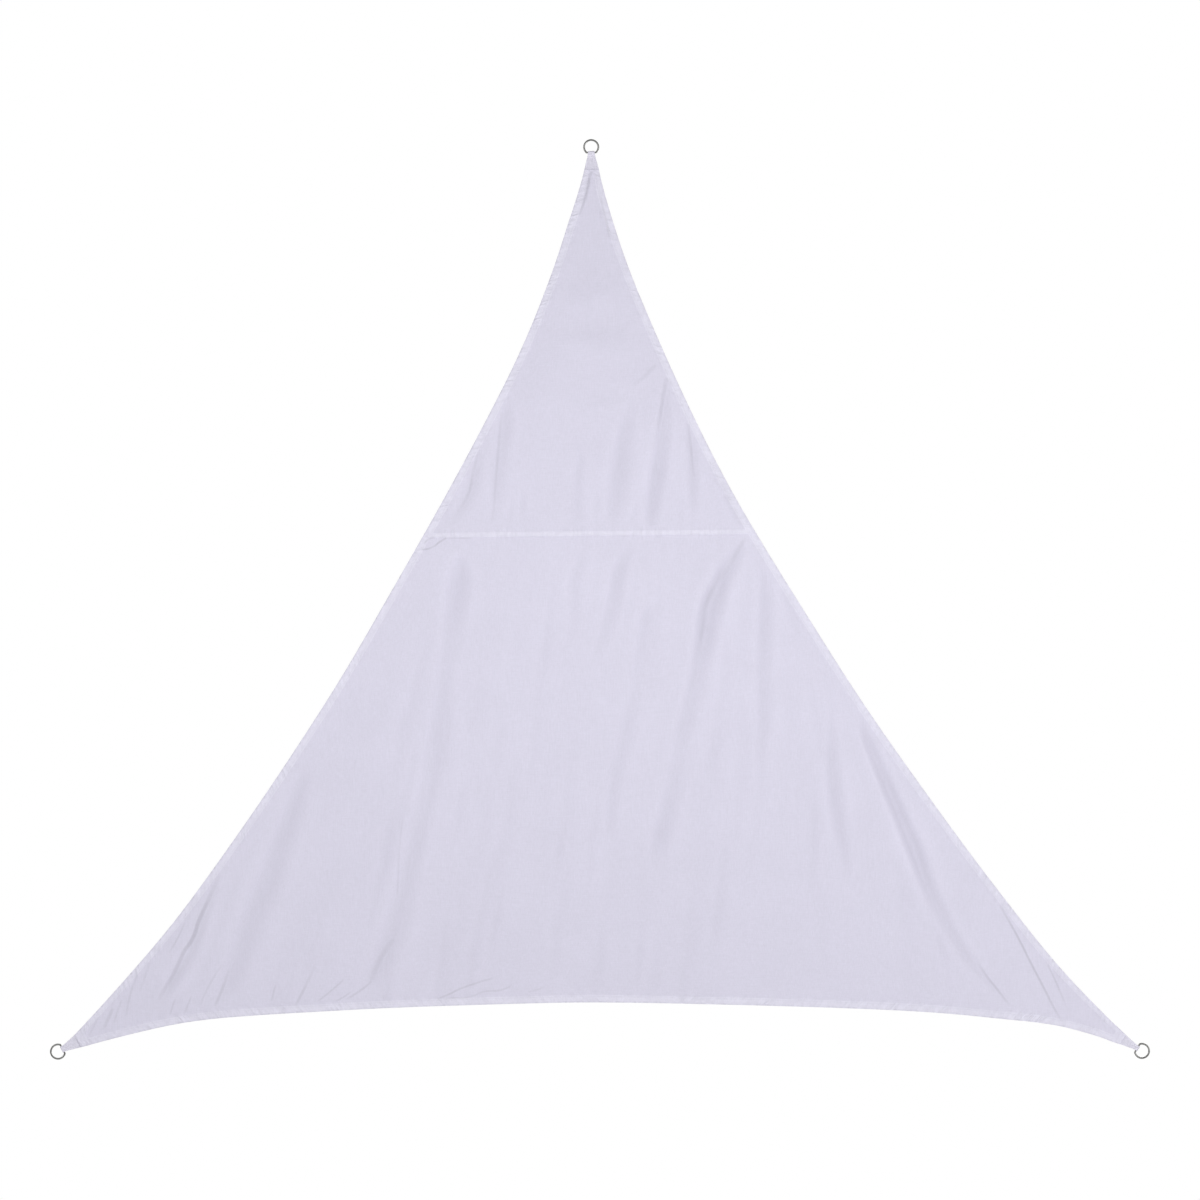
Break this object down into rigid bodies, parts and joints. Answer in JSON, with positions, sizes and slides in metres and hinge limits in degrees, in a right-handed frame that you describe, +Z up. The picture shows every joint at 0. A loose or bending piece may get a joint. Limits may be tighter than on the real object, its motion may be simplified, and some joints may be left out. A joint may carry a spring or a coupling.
{
  "type": "shade sail",
  "caption": "Triangular shade sail of seamed, hemmed cloth with inward-curving edges and a D-ring strapped to each corner, hung up to cast shade.",
  "frame": {"origin": "the point inside the top ring on which a hook or line bears", "axes": "+X to the right along the bottom edge seen from the front, +Y from the front to the back, +Z up"},
  "size_m": [3.0807, 0.0806, 2.5776],
  "materials": {
    "cloth": "plain woven polyester, pale lavender white, matt",
    "strap": "woven strap, pale lavender white, matt",
    "ring_wire": "bright stainless wire"
  },
  "bodies": {
    "root": {"upper_panel": "cloth", "lower_panel": "cloth", "corner_tab_top": "strap", "corner_tab_left": "strap", "corner_tab_right": "strap", "ring_top": "ring_wire", "ring_left": "ring_wire", "ring_right": "ring_wire"}
  },
  "joints": []
}
